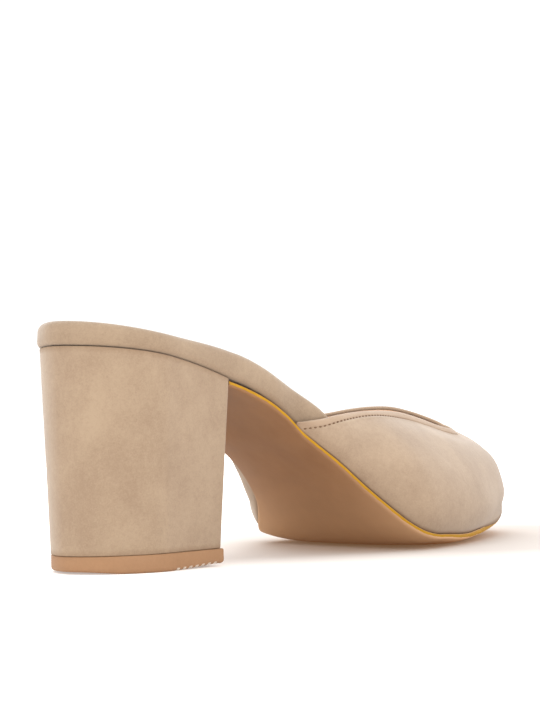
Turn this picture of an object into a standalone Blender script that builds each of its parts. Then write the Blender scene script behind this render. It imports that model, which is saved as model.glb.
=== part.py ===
"""Right-foot heeled mule: a hollow upper over the toes, a wrapped footbed, a thin sole,
a straight-sided block heel and its rubber top piece.

+X points to the toe, +Y to the inner (medial) side and +Z up. Lengths along the shoe are
measured from the back of the heel seat until the last step, which centres the shoe on the floor.
"""
import math

import bmesh
import bpy
import numpy as np

mm = 0.001

# Lengths along the shoe
sole_length = 241.8 * mm
seat_length = 55.4 * mm
seat_back_depth = 28.4 * mm
tread_start = 151.0 * mm
tread_end = 175.0 * mm
upper_start = 88.0 * mm

# Widths and offsets across it
seat_width = 52.4 * mm
ball_width = 87.5 * mm
toe_offset = 6.0 * mm

# Heights
heel_height = 75.1 * mm
breast_height = 63.4 * mm
toe_spring = 8.3 * mm
instep_height = 52.1 * mm

# Thicknesses and fits
piece_gap = 0.3 * mm
upper_wall = 1.7 * mm
upper_corner_wall = 1.1 * mm
upper_pared_length = 16.0 * mm
sole_edge = 1.7 * mm
waist_crown = 1.0 * mm
ball_crown = 2.9 * mm
toe_crown = 4.4 * mm
tip_crown = 1.6 * mm
tread_sink = 0.15 * mm
sole_setback = 0.8 * mm
footbed_back_thickness = 8.4 * mm
footbed_heel_thickness = 7.0 * mm
footbed_breast_thickness = 9.3 * mm
footbed_waist_thickness = 10.2 * mm
footbed_corner_thickness = 11.9 * mm
footbed_tuck_thickness = 9.8 * mm
footbed_toe_thickness = 6.5 * mm
footbed_overhang = 1.0 * mm
footbed_top_round = 2.7 * mm
footbed_low_round = 2.4 * mm
footbed_side_clearance = 0.5 * mm
footbed_waist_overhang = 1.8 * mm
footbed_lean = 0.8 * mm
footbed_low_lean_share = 0.3
footbed_side_lean_share = 0.5
footbed_step = 8.0 * mm
footbed_step_margin = 1.5 * mm
footbed_full_until = 8.0 * mm
footbed_tuck_length = 22.0 * mm

# Top piece under the heel
lift_height = 5.8 * mm
lift_length = 51.7 * mm
lift_width = 47.4 * mm
lift_setback = 1.4 * mm
lift_lip = 0.7 * mm
lift_edge_round = 0.6 * mm
lift_front_rise = 1.0 * mm
rib_pitch = 2.9 * mm
rib_groove_width = 1.1 * mm
rib_groove_depth = 0.8 * mm
rib_front_margin = 3.5 * mm
rib_groove_count = 7

seat_back_roundness = 1.71

# Each side's outline forward of the seat: along is a share of sole_length,
# out a share of ball_width.
side_columns = ("along", "out")
lateral_side = ((0.229, 0.296), (0.336, 0.309), (0.460, 0.377), (0.585, 0.483))
medial_side = ((0.229, 0.302), (0.347, 0.209), (0.4855, 0.254), (0.624, 0.517))
lateral_toe_roundness = 1.5
medial_toe_roundness = 2.2
toe_softness = 4.5 * mm
outline_spacing = 0.5 * mm
slope_step = 0.5 * mm
toe_crown_along = 0.83
crown_fullness = 3.8
widening_to_toe = 1.5

# The line that the foot's underside follows between heel and tread: share of sole_length,
# share of breast_height, and its slope there.
seat_slope_at_breast = -0.27
waist_along = 0.427
waist_height_share = 0.560
waist_slope = -0.80
seat_drop_straight_share = 0.35

# One row per rib of the upper, from its back corner to the toe's middle.
# share: how far along the sole's edge the rib starts
# along, across, height: where it ends on the topline, as shares of sole_length, ball_width
#   and instep_height
# swell, fall: how far the rib first leans out, and how far it drops off the topline,
#   as shares of its own height
rib_columns = ("share", "along", "across", "height", "swell", "fall")
lateral_ribs = (
    (0.00, 0.364, -0.328, 0.926, 0.00, 0.30),
    (0.06, 0.400, -0.346, 0.929, 0.10, 0.34),
    (0.13, 0.440, -0.340, 0.958, 0.14, 0.34),
    (0.21, 0.484, -0.309, 0.971, 0.16, 0.33),
    (0.30, 0.533, -0.282, 0.978, 0.18, 0.31),
    (0.40, 0.591, -0.242, 0.974, 0.20, 0.30),
    (0.50, 0.653, -0.196, 0.953, 0.22, 0.30),
    (0.60, 0.713, -0.158, 0.908, 0.24, 0.29),
    (0.70, 0.769, -0.127, 0.855, 0.26, 0.27),
    (0.80, 0.816, -0.099, 0.820, 0.27, 0.26),
    (0.90, 0.849, -0.050, 0.808, 0.27, 0.24),
    (1.00, 0.868, 0.050, 0.845, 0.27, 0.22),
)
medial_ribs = (
    (0.00, 0.372, 0.226, 0.915, 0.40, 0.30),
    (0.06, 0.400, 0.246, 0.927, 0.55, 0.34),
    (0.13, 0.440, 0.268, 0.941, 0.46, 0.34),
    (0.21, 0.484, 0.286, 0.949, 0.34, 0.32),
    (0.30, 0.533, 0.292, 0.952, 0.26, 0.28),
    (0.40, 0.591, 0.279, 0.952, 0.25, 0.24),
    (0.50, 0.653, 0.263, 0.953, 0.22, 0.22),
    (0.60, 0.706, 0.243, 0.980, 0.23, 0.20),
    (0.70, 0.755, 0.220, 0.996, 0.24, 0.19),
    (0.80, 0.800, 0.191, 0.988, 0.26, 0.18),
    (0.90, 0.843, 0.145, 0.935, 0.28, 0.20),
    (1.00, 0.868, 0.050, 0.845, 0.27, 0.22),
)
rib_rise = 0.29
rib_shoulder = 0.90

# Resolution
side_steps = 52
sole_across_steps = 17
block_back_steps = 15
block_side_steps = 8
block_levels = 5
upper_steps = 40
rib_steps = 10
arc_steps = 5
spine_shares = (0.35, 0.7, 1.0)
sharp_angle = math.radians(40.0)
fine_steps = 400


def named_columns(rows, columns):
    """Each column of a table as an array, by its name."""
    return dict(zip(columns, np.array(rows, float).T))


def hermite(position, start, end, start_value, end_value, start_slope, end_slope):
    """Cubic between two values with a slope at each."""
    span = end - start
    t = (position - start) / span
    return ((2 * t**3 - 3 * t**2 + 1) * start_value + (t**3 - 2 * t**2 + t) * span * start_slope
            + (3 * t**2 - 2 * t**3) * end_value + (t**3 - t**2) * span * end_slope)


def smooth_curve(position, places, values, start_slope=None, end_slope=None):
    """Smooth curve through a table's values, with each inner slope taken from its neighbours."""
    slopes = np.gradient(values, places)
    if start_slope is not None:
        slopes[0] = start_slope
    if end_slope is not None:
        slopes[-1] = end_slope
    row = np.clip(np.searchsorted(places, position) - 1, 0, len(places) - 2)
    return hermite(position, places[row], places[row + 1], values[row], values[row + 1],
                   slopes[row], slopes[row + 1])


def blend(position, start, end):
    """Rises smoothly from 0 to 1 between two places."""
    share = np.clip((position - start) / (end - start), 0.0, 1.0)
    return share * share * (3.0 - 2.0 * share)


def seat_height(along):
    """Height of the line under the footbed: the heel's seat, the waist, the tread and the toe."""
    along = np.asarray(along, float)
    back = np.clip(along / seat_length, 0.0, 1.0)
    drop = seat_drop_straight_share * back + (1.0 - seat_drop_straight_share) * back**2
    seat = heel_height + (breast_height - heel_height) * drop
    waist_x = waist_along * sole_length
    waist_z = waist_height_share * breast_height
    tread_z = piece_gap + sole_edge + ball_crown
    upper_part = hermite(along, seat_length, waist_x, breast_height, waist_z,
                         seat_slope_at_breast, waist_slope)
    lower_part = hermite(along, waist_x, tread_start, waist_z, tread_z, waist_slope, 0.0)
    spring = np.clip((along - tread_end) / (sole_length - tread_end), 0.0, None) ** 2
    front = tread_z + toe_spring * spring
    height = np.where(along < seat_length, seat, upper_part)
    height = np.where(along > waist_x, lower_part, height)
    return np.where(along > tread_start, front, height)


def seat_normal(along):
    """Direction square to the seat line, as its x and z parts."""
    rise = seat_height(along + slope_step) - seat_height(along - slope_step)
    slope = rise / (2.0 * slope_step)
    size = np.sqrt(1.0 + slope**2)
    return -slope / size, 1.0 / size


def side_outline(rows, toe_roundness, sign):
    """One side of the outline, from the middle of the heel's back to a still pointed toe."""
    table = named_columns(rows, side_columns)
    turn = np.linspace(0.0, math.pi / 2.0, fine_steps)
    back_x = seat_back_depth * (1.0 - np.cos(turn) ** (2.0 / seat_back_roundness))
    back_y = 0.5 * seat_width * np.sin(turn) ** (2.0 / seat_back_roundness)

    places = np.concatenate(([seat_back_depth], table["along"] * sole_length))
    widths = np.concatenate(([0.5 * seat_width], table["out"] * ball_width))
    middle_x = np.linspace(places[0], places[-1], fine_steps)
    middle_y = smooth_curve(middle_x, places, widths, 0.0, 0.0)

    toe_x = places[-1] + (sole_length - places[-1]) * np.sin(turn) ** (2.0 / toe_roundness)
    toe_y = widths[-1] * np.cos(turn) ** (2.0 / toe_roundness)
    x = np.concatenate((back_x, middle_x[1:], toe_x[1:]))
    y = sign * np.concatenate((back_y, middle_y[1:], toe_y[1:]))
    lean = np.clip((x - tread_start) / (sole_length - tread_start), 0.0, 1.0) ** widening_to_toe
    return np.stack((x, y + toe_offset * lean), axis=1)


def spaced(points, start, end, count):
    """Points evenly spaced along a polyline, between two shares of its length."""
    reach = np.concatenate(([0.0], np.cumsum(np.linalg.norm(np.diff(points, axis=0), axis=1))))
    wanted = np.linspace(start, end, count) * reach[-1]
    return np.stack([np.interp(wanted, reach, column) for column in points.T], axis=1)


def share_at(points, along):
    """Share of a polyline's length at which it passes a place along the shoe."""
    reach = np.concatenate(([0.0], np.cumsum(np.linalg.norm(np.diff(points, axis=0), axis=1))))
    return float(np.interp(along, points[:, 0], reach / reach[-1]))


def moved_out(points, amount, sign):
    """A side outline moved out square to itself. Its first and last points stay on their line."""
    run = np.gradient(points, axis=0)
    run /= np.linalg.norm(run, axis=1)[:, None]
    out = np.stack((run[:, 1], -run[:, 0]), axis=1) * -sign
    out[0] = (-1.0, 0.0)
    out[-1] = (1.0, 0.0)
    return points + out * np.reshape(amount, (-1, 1)), out


def rounded_toe(lateral, medial):
    """Softens the point where the two sides meet, and stretches the toe back to full length."""
    around = np.concatenate((lateral, medial[-2::-1]))
    length = np.linalg.norm(np.diff(around, axis=0), axis=1).sum()
    even = spaced(around, 0.0, 1.0, int(length / outline_spacing))
    reach = int(3.0 * toe_softness / outline_spacing)
    steps = np.arange(-reach, reach + 1)
    weight = np.exp(-0.5 * (steps * outline_spacing / toe_softness) ** 2)
    weight /= weight.sum()
    soft = np.stack([np.convolve(column, weight, mode="same") for column in even.T], axis=1)
    share = blend(even[:, 0], tread_start, tread_end)[:, None]
    share[:reach] = 0.0
    share[-reach:] = 0.0
    even = even * (1.0 - share) + soft * share
    tip = int(np.argmax(even[:, 0]))
    ahead = np.clip(even[:, 0] - tread_end, 0.0, None)
    even[:, 0] += ahead / ahead.max() * (sole_length - even[tip, 0])
    return even[:tip + 1], even[:tip - 1:-1]


lateral_outline, medial_outline = rounded_toe(
    side_outline(lateral_side, lateral_toe_roundness, -1.0),
    side_outline(medial_side, medial_toe_roundness, 1.0))


def make_material(name, colour, roughness):
    material = bpy.data.materials.new(name)
    material.use_nodes = True
    shader = material.node_tree.nodes["Principled BSDF"]
    shader.inputs["Base Color"].default_value = (*colour, 1.0)
    shader.inputs["Roughness"].default_value = roughness
    shader.inputs["Metallic"].default_value = 0.0
    material.diffuse_color = (*colour, 1.0)
    return material


def make_object(name, points, faces, material):
    """A mesh object whose doubled points are joined and whose faces point out."""
    mesh = bpy.data.meshes.new(name)
    mesh.from_pydata([tuple(point) for point in points], [], faces)
    tidy = bmesh.new()
    tidy.from_mesh(mesh)
    bmesh.ops.remove_doubles(tidy, verts=tidy.verts, dist=0.01 * mm)
    bmesh.ops.dissolve_degenerate(tidy, edges=tidy.edges, dist=0.001 * mm)
    bmesh.ops.recalc_face_normals(tidy, faces=tidy.faces)
    tidy.to_mesh(mesh)
    tidy.free()
    mesh.shade_smooth()
    mesh.set_sharp_from_angle(angle=sharp_angle)
    mesh.materials.append(material)
    shoe_piece = bpy.data.objects.new(name, mesh)
    bpy.context.collection.objects.link(shoe_piece)
    shoe_piece.parent = shoe_root
    return shoe_piece


def loop_faces(rows, width, closed):
    """Quads between rows of equal width, each row a closed ring or an open strip."""
    faces = []
    for row in range(rows - 1):
        for step in range(width if closed else width - 1):
            following = (step + 1) % width
            faces.append((row * width + step, row * width + following,
                          (row + 1) * width + following, (row + 1) * width + step))
    return faces


def paired_ring(lateral, medial):
    """A closed ring round the outline: forward along the lateral side, back along the medial."""
    return np.concatenate((lateral, medial[::-1]))


def on_seat(flat, height):
    """Places points given along and across the shoe at a height square to the seat line."""
    lean_x, lean_z = seat_normal(flat[:, 0])
    return np.stack((flat[:, 0] + lean_x * height, flat[:, 1],
                     seat_height(flat[:, 0]) + lean_z * height), axis=1)


def upper_thickness(along):
    """The upper's wall: pared thin at its back corners and full from there on."""
    full = blend(along, upper_start, upper_start + upper_pared_length)
    return upper_corner_wall + (upper_wall - upper_corner_wall) * full


def waist_share(along):
    """1 at the narrowest place of the waist, falling to 0 at the breast and at the tread."""
    narrowest = medial_side[1][0] * sole_length
    rise = blend(along, seat_length, narrowest)
    return rise * (1.0 - blend(along, narrowest, tread_start))


def footbed_thickness(along):
    """Padding: thin under the heel, fullest between the upper's back corners, thin at the toes."""
    places = (0.0, seat_back_depth, seat_length, upper_start - footbed_step,
              upper_start + footbed_full_until, upper_start + footbed_tuck_length, tread_start)
    values = (footbed_back_thickness, footbed_heel_thickness, footbed_breast_thickness,
              footbed_waist_thickness, footbed_corner_thickness, footbed_tuck_thickness,
              footbed_toe_thickness)
    along = np.clip(along, 0.0, tread_start)
    return smooth_curve(along, np.array(places), np.array(values), None, 0.0)


def make_footbed(material):
    """Padded insole: full width behind the upper, and stepped in to lie inside the upper's wall."""
    def edge(inset, rise):
        sides = []
        for outline, sign in ((lateral_outline, -1.0), (medial_outline, 1.0)):
            points = spaced(outline, 0.0, 1.0, side_steps)
            inside = blend(points[:, 0], upper_start - footbed_step, upper_start - footbed_step_margin)
            wall = upper_thickness(points[:, 0])
            step_in = footbed_lean * rise - wall - footbed_side_clearance
            offset = footbed_overhang * (1.0 - inside) + step_in * inside - inset
            if sign > 0.0:
                offset += footbed_waist_overhang * rise * waist_share(points[:, 0])
            sides.append(moved_out(points, offset, sign)[0])
        return sides

    def toward_spine(sides, share):
        middle = 0.5 * (sides[0] + sides[1])
        spine_x = np.clip(middle[:, 0], seat_back_depth, sole_length - seat_back_depth)
        spine = np.column_stack((spine_x, np.interp(spine_x, middle[:, 0], middle[:, 1])))
        return paired_ring(*[side + (spine - side) * share for side in sides])

    low_sides = edge(footbed_low_round, 0.0)
    top_sides = edge(footbed_top_round, 1.0)
    rows = [on_seat(toward_spine(low_sides, share), 0.0) for share in spine_shares[::-1]]
    for turn in np.linspace(0.0, math.pi / 2.0, arc_steps):
        height = footbed_low_round * (1.0 - math.cos(turn))
        rise = footbed_low_lean_share * math.sin(turn)
        flat = paired_ring(*edge(footbed_low_round * (1.0 - math.sin(turn)), rise))
        rows.append(on_seat(flat, height))
    for turn in np.linspace(0.0, math.pi / 2.0, arc_steps):
        rise = footbed_side_lean_share + (1.0 - footbed_side_lean_share) * math.sin(turn)
        flat = paired_ring(*edge(footbed_top_round * (1.0 - math.cos(turn)), rise))
        drop = footbed_top_round * (1.0 - math.sin(turn))
        rows.append(on_seat(flat, footbed_thickness(flat[:, 0]) - drop))
    for share in spine_shares:
        flat = toward_spine(top_sides, share)
        rows.append(on_seat(flat, footbed_thickness(flat[:, 0])))
    faces = loop_faces(len(rows), 2 * side_steps, True)
    return make_object("footbed", np.concatenate(rows), faces, material)


def sole_crown(along):
    """How far the middle of the sole's underside stands below its edges."""
    place = toe_crown_along * sole_length
    to_ball = blend(along, upper_start, tread_start)
    to_toe = blend(along, tread_start, place)
    to_tip = blend(along, place, sole_length)
    crown = waist_crown + (ball_crown - waist_crown) * to_ball
    return crown + (toe_crown - ball_crown) * to_toe + (tip_crown - toe_crown) * to_tip


def make_outsole(material):
    """Thin sole from the heel's breast to the toe, crowned across and flat where it treads."""
    across = np.linspace(0.0, 1.0, sole_across_steps)
    start_x = seat_length + piece_gap
    sides = []
    for outline, sign in ((lateral_outline, -1.0), (medial_outline, 1.0)):
        points = spaced(outline, share_at(outline, start_x), 1.0, side_steps)
        setback = sole_setback * (1.0 - blend(points[:, 0], seat_length, upper_start))
        points = moved_out(points, -setback, sign)[0]
        points[0, 0] = start_x
        sides.append(points)
    rings = []
    for lateral, medial in zip(*sides):
        flat = lateral + (medial - lateral) * across[:, None]
        seat = seat_height(flat[:, 0])
        lean_x, lean_z = seat_normal(flat[:, 0])
        crown = sole_crown(flat[:, 0]) + tread_sink
        crown *= 1.0 - np.abs(2.0 * across - 1.0) ** crown_fullness
        top = np.stack((flat[:, 0], flat[:, 1], seat - piece_gap), axis=1)
        low = np.stack((flat[:, 0], flat[:, 1],
                        np.maximum(seat - piece_gap - (sole_edge + crown) / lean_z, 0.0)), axis=1)
        rings.append(np.concatenate((low, top[::-1])))
    width = len(rings[0])
    points = np.concatenate(rings)
    faces = loop_faces(len(rings), width, True)
    for step in range(len(across) - 1):
        faces.append((step, step + 1, width - 2 - step, width - 1 - step))
    return make_object("outsole", points, faces, material)


def heel_outline(length, width, back):
    """The block's outline as its two sides, from the middle of the back to the breast."""
    turn = np.linspace(0.0, math.pi / 2.0, block_back_steps)
    depth = seat_back_depth * length / seat_length
    x = back + depth * (1.0 - np.cos(turn) ** (2.0 / seat_back_roundness))
    y = 0.5 * width * np.sin(turn) ** (2.0 / seat_back_roundness)
    front = np.linspace(back + depth, back + length, block_side_steps)[1:]
    x = np.concatenate((x, front))
    y = np.concatenate((y, np.full(len(front), 0.5 * width)))
    return np.stack((x, -y), axis=1), np.stack((x, y), axis=1)


def stacked_block(name, levels, material):
    """A closed block from rings at several levels, capped by strips between its two sides."""
    count = len(levels[0][0])
    rings = [paired_ring(lateral, medial) for lateral, medial in levels]
    faces = loop_faces(len(rings), 2 * count, True)
    for base in (0, (len(rings) - 1) * 2 * count):
        for step in range(count - 1):
            faces.append((base + step, base + step + 1,
                          base + 2 * count - 2 - step, base + 2 * count - 1 - step))
    return make_object(name, np.concatenate(rings), faces, material)


def with_height(side, height):
    return np.column_stack((side, np.broadcast_to(height, len(side))))


def make_heel(material):
    """Block that narrows evenly from the seat down to the top piece."""
    lip = lift_lip
    low = heel_outline(lift_length - 2.0 * lip, lift_width - 2.0 * lip, lift_setback + lip)
    top = heel_outline(seat_length, seat_width, 0.0)
    base_height = lift_height + piece_gap
    levels = []
    for share in np.linspace(0.0, 1.0, block_levels):
        sides = []
        for low_side, top_side in zip(low, top):
            flat = low_side + (top_side - low_side) * share
            peak = seat_height(top_side[:, 0]) - piece_gap
            sides.append(with_height(flat, base_height + (peak - base_height) * share))
        levels.append(sides)
    return stacked_block("heel", levels, material)


def make_top_piece(material):
    """Rubber top piece: a softened tread edge, and a front half that rises and has short ribs."""
    lift_front = lift_setback + lift_length
    first_groove = lift_front - rib_front_margin
    last_groove = first_groove - (rib_groove_count - 1) * rib_pitch

    def underside(along):
        return lift_front_rise * blend(along, last_groove - rib_pitch, lift_front)

    levels = []
    for inset, height in ((lift_edge_round, 0.0), (0.3 * lift_edge_round, 0.3 * lift_edge_round),
                          (0.0, lift_edge_round), (0.0, lift_height)):
        sides = heel_outline(lift_length - 2.0 * inset, lift_width - 2.0 * inset,
                             lift_setback + inset)
        left = 1.0 - height / lift_height
        levels.append([with_height(side, height + left * underside(side[:, 0])) for side in sides])
    piece = stacked_block("top_piece", levels, material)

    half_reach = 0.5 * lift_width + lift_lip
    points = []
    faces = []
    for groove in range(rib_groove_count):
        middle = first_groove - groove * rib_pitch
        ceiling = float(underside(middle)) + rib_groove_depth
        base = len(points)
        for x in (middle - 0.5 * rib_groove_width, middle + 0.5 * rib_groove_width):
            for y in (-half_reach, half_reach):
                for z in (-rib_groove_depth, ceiling):
                    points.append((x, y, z))
        for corners in ((0, 1, 3, 2), (4, 6, 7, 5), (0, 4, 5, 1), (2, 3, 7, 6), (0, 2, 6, 4),
                        (1, 5, 7, 3)):
            faces.append(tuple(base + corner for corner in corners))
    cutter = make_object("tread_cutter", points, faces, material)
    cutter.hide_render = True
    cutter.display_type = "WIRE"
    cut = piece.modifiers.new("tread ribs", "BOOLEAN")
    cut.operation = "DIFFERENCE"
    cut.solver = "EXACT"
    cut.object = cutter
    return piece


def upper_rib(start, out, row):
    """One rib of the upper: a cubic from the sole's edge, out over its swell, to the topline."""
    end = np.array((row["along"] * sole_length, row["across"] * ball_width,
                    row["height"] * instep_height))
    height = end[2] - start[2]
    first = start + np.array((out[0], out[1], 0.0)) * row["swell"] * height
    first[2] += rib_rise * height
    second = end.copy()
    second[:2] += (start[:2] - end[:2]) * rib_shoulder
    second[2] -= row["fall"] * height
    t = np.linspace(0.0, 1.0, rib_steps)[:, None]
    return (start * (1 - t)**3 + 3 * first * t * (1 - t)**2
            + 3 * second * t**2 * (1 - t) + end * t**3)


def upper_side(outline, rows, sign):
    """The ribs of one side, from the back corner to the middle of the toe."""
    table = named_columns(rows, rib_columns)
    begin = share_at(outline, upper_start)
    shares = np.linspace(0.0, 1.0, upper_steps)
    feather = spaced(outline, begin, 1.0, upper_steps)
    out = moved_out(feather, 0.0, sign)[1]
    out[0] = (0.0, sign)
    ribs = []
    for step, share in enumerate(shares):
        row = {}
        for column in rib_columns[1:]:
            end_slope = 0.0 if column == "along" else None
            row[column] = float(smooth_curve(share, table["share"], table[column], None, end_slope))
        start = np.array((feather[step, 0], feather[step, 1], float(seat_height(feather[step, 0]))))
        ribs.append(upper_rib(start, out[step], row))
    return ribs


def surface_normals(grid):
    """Outward directions of a grid of points that is indexed by rib and by step up the rib."""
    around = np.gradient(grid, axis=0)
    upward = np.gradient(grid, axis=1)
    normal = np.cross(around, upward)
    return normal / np.linalg.norm(normal, axis=2)[:, :, None]


def make_upper(material):
    """Upper: one hollow wall round the toes, open behind, at the throat and underneath."""
    lateral = upper_side(lateral_outline, lateral_ribs, -1.0)
    medial = upper_side(medial_outline, medial_ribs, 1.0)
    outer = np.array(lateral + medial[-2::-1])
    normal = surface_normals(outer)
    inner = outer - normal * upper_thickness(outer[:, :1, 0])[:, :, None]
    inner[:, 0, 2] = outer[:, 0, 2]
    inner[:, :, 2] = np.maximum(inner[:, :, 2], outer[:, :1, 2])
    rings = np.concatenate((outer, inner[:, ::-1]), axis=1)
    ribs, width = rings.shape[:2]
    faces = loop_faces(ribs, width, True)
    for base in (0, (ribs - 1) * width):
        for step in range(rib_steps - 1):
            faces.append((base + step, base + step + 1,
                          base + width - 2 - step, base + width - 1 - step))
    return make_object("upper", rings.reshape(-1, 3), faces, material)


def centre_on_floor(pieces):
    """Moves the shoe so that the middle of its box is over the origin, with its sole on the floor."""
    corners = []
    for piece in pieces:
        for vertex in piece.data.vertices:
            corners.append(vertex.co)
    corners = np.array(corners)
    low = corners.min(axis=0)
    high = corners.max(axis=0)
    shoe_root.location = (-0.5 * (low[0] + high[0]), -0.5 * (low[1] + high[1]), -low[2])


for old in list(bpy.data.objects):
    bpy.data.objects.remove(old, do_unlink=True)

shoe_root = bpy.data.objects.new("shoe_root", None)
bpy.context.collection.objects.link(shoe_root)

suede = make_material("suede", (0.56, 0.42, 0.31), 0.95)
wrap = make_material("wrap_suede", (0.53, 0.40, 0.29), 0.95)
heel_suede = make_material("heel_suede", (0.55, 0.41, 0.30), 0.95)
resin = make_material("sole_resin", (0.31, 0.17, 0.09), 0.55)
rubber = make_material("rubber", (0.47, 0.26, 0.14), 0.60)

centre_on_floor([
    make_upper(suede),
    make_footbed(wrap),
    make_outsole(resin),
    make_heel(heel_suede),
    make_top_piece(rubber),
])
bpy.context.view_layer.update()
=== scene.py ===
import math

import bmesh
import bpy
import numpy as np
from mathutils import Matrix, Vector


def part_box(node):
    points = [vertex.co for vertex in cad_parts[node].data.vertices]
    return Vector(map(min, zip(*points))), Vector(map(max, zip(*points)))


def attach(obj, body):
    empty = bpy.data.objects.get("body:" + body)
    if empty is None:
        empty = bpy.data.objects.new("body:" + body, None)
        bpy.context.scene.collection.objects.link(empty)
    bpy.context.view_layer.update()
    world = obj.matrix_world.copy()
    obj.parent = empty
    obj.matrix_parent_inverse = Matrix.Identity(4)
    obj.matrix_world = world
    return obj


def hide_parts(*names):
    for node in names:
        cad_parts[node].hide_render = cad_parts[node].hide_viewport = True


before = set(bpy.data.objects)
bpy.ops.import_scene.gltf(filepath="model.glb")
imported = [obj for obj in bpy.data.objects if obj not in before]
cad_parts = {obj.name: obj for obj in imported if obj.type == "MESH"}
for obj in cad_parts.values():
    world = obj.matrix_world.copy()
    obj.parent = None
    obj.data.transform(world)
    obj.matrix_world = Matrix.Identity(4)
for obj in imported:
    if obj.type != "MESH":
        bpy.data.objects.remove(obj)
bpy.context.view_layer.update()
print("frame loaded:", sorted(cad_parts))

# Everything below is in millimetres from the back of the heel seat, on the floor and on the
# shoe's middle line. x runs to the toe, y to the inner side and z up.
mm = 0.001
scene = bpy.context.scene
heelLow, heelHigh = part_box("heel")
shoeOrigin = np.array((heelLow.x, 0.5 * (heelLow.y + heelHigh.y), 0.0))

last = {
    "soleLength": 241.8, "seatLength": 55.4, "seatBackDepth": 28.4, "seatWidth": 52.4,
    "ballWidth": 87.5, "toeOffset": 6.0, "treadStart": 151.0, "treadEnd": 175.0,
    "upperStart": 88.0, "heelHeight": 75.1, "breastHeight": 63.4, "toeSpring": 8.3,
    "instepHeight": 52.1, "gap": 0.3, "soleEdge": 1.7, "waistCrown": 1.0, "ballCrown": 2.9,
    "toeCrown": 4.4, "tipCrown": 1.6, "toeCrownAlong": 0.83, "crownFullness": 3.8,
    "treadSink": 0.15, "soleSetback": 0.8, "seatRoundness": 1.71, "lateralToe": 1.5,
    "medialToe": 2.2, "toeSoftness": 4.5, "toeWidening": 1.5, "seatSlope": -0.27,
    "waistAlong": 0.427, "waistHeight": 0.560, "waistSlope": -0.80, "seatStraight": 0.35,
}
# how far along the sole and how far out from the middle line, as shares
lateralSide = ((0.229, 0.296), (0.336, 0.309), (0.460, 0.377), (0.585, 0.483))
medialSide = ((0.229, 0.302), (0.347, 0.209), (0.4855, 0.254), (0.624, 0.523))


def ease(position, start, end):
    share = np.clip((position - start) / (end - start), 0.0, 1.0)
    return share * share * (3.0 - 2.0 * share)


def between(first, second, share):
    return first + (second - first) * share


def hump(position, middle, width):
    return np.exp(-((position - middle) / width) ** 2)


def cubic(position, start, end, startValue, endValue, startSlope, endSlope):
    span = end - start
    t = (position - start) / span
    return ((2 * t**3 - 3 * t**2 + 1) * startValue + (t**3 - 2 * t**2 + t) * span * startSlope
            + (3 * t**2 - 2 * t**3) * endValue + (t**3 - t**2) * span * endSlope)


def smoothCurve(position, places, values, startSlope=None, endSlope=None):
    slopes = np.gradient(values, places)
    if startSlope is not None:
        slopes[0] = startSlope
    if endSlope is not None:
        slopes[-1] = endSlope
    row = np.clip(np.searchsorted(places, position) - 1, 0, len(places) - 2)
    return cubic(position, places[row], places[row + 1], values[row], values[row + 1],
                 slopes[row], slopes[row + 1])


def seatHeight(along):
    # the line under the footbed: heel seat, waist, tread and toe spring
    along = np.asarray(along, float)
    back = np.clip(along / last["seatLength"], 0.0, 1.0)
    breastX = last["seatLength"]
    breastZ = last["breastHeight"]
    drop = between(back**2, back, last["seatStraight"])
    seat = between(last["heelHeight"], breastZ, drop)
    waistX = last["waistAlong"] * last["soleLength"]
    waistZ = last["waistHeight"] * breastZ
    treadZ = last["gap"] + last["soleEdge"] + last["ballCrown"]
    upper = cubic(along, breastX, waistX, breastZ, waistZ, last["seatSlope"], last["waistSlope"])
    lower = cubic(along, waistX, last["treadStart"], waistZ, treadZ, last["waistSlope"], 0.0)
    ahead = (along - last["treadEnd"]) / (last["soleLength"] - last["treadEnd"])
    front = treadZ + last["toeSpring"] * np.clip(ahead, 0.0, None) ** 2
    height = np.where(along < breastX, seat, upper)
    height = np.where(along > waistX, lower, height)
    return np.where(along > last["treadStart"], front, height)


# where the sole's edge leaves its smooth line: place along the shoe and height
lineRows = (
    (50.0, 0.1), (57.0, 0.2), (66.0, 0.6), (72.0, 0.75), (79.0, 0.75), (84.0, 0.3),
    (89.0, -0.95), (96.0, -1.0), (105.0, -0.35), (116.0, -0.2), (124.0, -0.35),
    (132.0, -0.7), (138.0, -0.45), (144.0, 0.25), (150.0, 0.5), (156.0, 0.2),
    (164.0, -0.4), (172.0, -0.6), (183.0, -0.15), (196.0, 0.15), (215.0, 0.0),
)


def lineRelief(along):
    places, rise = np.array(lineRows).T
    return smoothCurve(np.clip(along, places[0], places[-1]), places, rise, 0.0, 0.0)


def seatNormal(along):
    slope = (seatHeight(along + 0.5) - seatHeight(along - 0.5))
    size = np.sqrt(1.0 + slope**2)
    return -slope / size, 1.0 / size


def onSeat(flat, height):
    # points lifted square to the seat line
    leanX, leanZ = seatNormal(flat[:, 0])
    return np.stack((flat[:, 0] + leanX * height, flat[:, 1],
                     seatHeight(flat[:, 0]) + leanZ * height), axis=1)


def reachAlong(points):
    steps = np.linalg.norm(np.diff(points, axis=0), axis=1)
    return np.concatenate(([0.0], np.cumsum(steps)))


def spaced(points, start, end, count):
    reach = reachAlong(points)
    wanted = np.linspace(start, end, count) * reach[-1]
    return np.stack([np.interp(wanted, reach, column) for column in points.T], axis=1)


def shareAt(points, along):
    reach = reachAlong(points)
    return float(np.interp(along, points[:, 0], reach / reach[-1]))


def closedLine(sides):
    # down the outer side and back up the inner one
    return np.concatenate((sides[0], sides[1][::-1]))


def acrossToe(sides):
    # the same, with the shared tip only once
    return np.concatenate((sides[0], sides[1][-2::-1]))


def quarterTurn(steps):
    return np.linspace(0.0, math.pi / 2.0, steps)


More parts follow.
